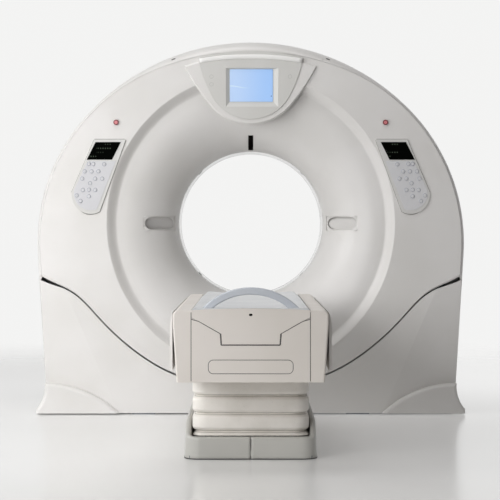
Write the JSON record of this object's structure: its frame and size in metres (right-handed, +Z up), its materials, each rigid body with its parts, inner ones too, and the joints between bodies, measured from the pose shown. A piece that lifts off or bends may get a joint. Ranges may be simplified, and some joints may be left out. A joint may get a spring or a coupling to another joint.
{
  "type": "ct scanner",
  "caption": "Tilting ring gantry with a patient bore, rotor, display and control panels, and a lifting patient couch with a sliding tabletop.",
  "frame": {"origin": "on the floor under the isocentre, in the flat underside of the gantry's base frame", "axes": "+Y along the bore away from the couch, +Z up, +X to the right seen from the couch's foot end"},
  "size_m": [2.2538, 3.226, 1.957],
  "materials": {
    "gantry_shell": "satin moulded cover, warm white",
    "rim_shell": "satin moulded cover, light warm grey",
    "base_shell": "satin moulded cover, warm white",
    "couch_shell": "satin moulded cover, warm white",
    "tabletop_laminate": "smooth matt laminate over foam",
    "handle_blue": "satin blue-grey",
    "bellows_sleeve": "matt folded sleeve",
    "plinth_shell": "fine textured grey",
    "scan_window": "thin translucent ring",
    "laser_glass": "dark red filter",
    "screen_glass": "lit display",
    "readout_glass": "black glass",
    "display_shell": "satin moulded cover",
    "panel_shell": "fine matt light grey",
    "keypad_mat": "moulded mat",
    "stop_red": "red button with a pale centre",
    "frame_steel": "painted steel",
    "frame_alloy": "machined alloy",
    "column_steel": "ground steel",
    "unit_casing": "moulded casing"
  },
  "bodies": {
    "base": {"base_frame": "frame_steel", "stanchion_left": "frame_steel", "stanchion_right": "frame_steel", "tilt_bearing_left": "column_steel", "tilt_bearing_right": "column_steel", "tilt_gearmotor": "unit_casing", "lower_front_cover": "base_shell", "lower_rear_cover": "base_shell", "couch_base_plate": "frame_steel", "plinth_cover_left": "plinth_shell", "plinth_cover_right": "plinth_shell", "lift_column_base": "column_steel", "bellows": "bellows_sleeve"},
    "gantry": {"tilt_frame": "frame_alloy", "bearing_outer_ring": "column_steel", "drive_stator": "column_steel", "front_cover": "gantry_shell", "rear_cover": "gantry_shell", "rim_cover_top": "rim_shell", "rim_cover_left": "rim_shell", "rim_cover_right": "rim_shell", "scan_window": "scan_window", "laser_window_top": "laser_glass", "laser_window_left": "laser_glass", "laser_window_right": "laser_glass", "display_surround": "display_shell", "display_panel": "display_shell", "display_screen": "screen_glass", "control_panel_left": "panel_shell", "control_panel_right": "panel_shell", "panel_screen_left": "readout_glass", "panel_screen_right": "readout_glass", "keypad_left": "keypad_mat", "keypad_right": "keypad_mat"},
    "rotor": {"rotor_drum": "frame_alloy", "bearing_inner_ring": "column_steel", "drive_magnets": "column_steel", "slip_ring": "frame_alloy", "xray_tube": "unit_casing", "collimator": "frame_alloy", "heat_exchanger": "frame_alloy", "generator": "unit_casing", "detector_arc": "unit_casing", "data_unit": "unit_casing"},
    "stop_left": {"stop_button_left": "stop_red"},
    "stop_right": {"stop_button_right": "stop_red"},
    "column_middle": {"lift_column_middle": "column_steel"},
    "couch": {"lift_column_top": "column_steel", "couch_frame": "frame_alloy", "side_cover_left": "couch_shell", "side_cover_right": "couch_shell", "end_cover": "couch_shell", "service_panel": "couch_shell", "under_cover": "couch_shell", "side_bumper_left": "couch_shell", "side_bumper_right": "couch_shell", "tabletop_motor": "unit_casing"},
    "cradle": {"tabletop": "tabletop_laminate", "tabletop_end": "couch_shell", "bow_handle": "handle_blue"}
  },
  "joints": [
    {"name": "gantry_tilt", "type": "hinge", "parent": "base", "child": "gantry", "pos_m": [0, 0, 1], "axis": [-1, 0, 0], "range_deg": [-22, 22]},
    {"name": "rotor_spin", "type": "hinge", "parent": "gantry", "child": "rotor", "pos_m": [0, 0, 1], "axis": [0, 1, 0], "continuous": true},
    {"name": "stop_press_left", "type": "slide", "parent": "gantry", "child": "stop_left", "axis": [0, 1, 0], "range_m": [0, 0.004], "stiffness_N_per_m": 700, "springref_m": -0.002},
    {"name": "stop_press_right", "type": "slide", "parent": "gantry", "child": "stop_right", "axis": [0, 1, 0], "range_m": [0, 0.004], "stiffness_N_per_m": 700, "springref_m": -0.002},
    {"name": "couch_lift", "type": "slide", "parent": "base", "child": "couch", "axis": [0, 0, 1], "range_m": [-0.2, 0.3], "deforming": ["bellows"]},
    {"name": "column_stage", "type": "slide", "parent": "base", "child": "column_middle", "axis": [0, 0, 1], "range_m": [-0.1, 0.15]},
    {"name": "tabletop_slide", "type": "slide", "parent": "couch", "child": "cradle", "axis": [0, 1, 0], "range_m": [0, 0.24]}
  ],
  "couplings": [
    {"joint": "column_stage", "follows": "couch_lift", "ratio": 0.5}
  ]
}
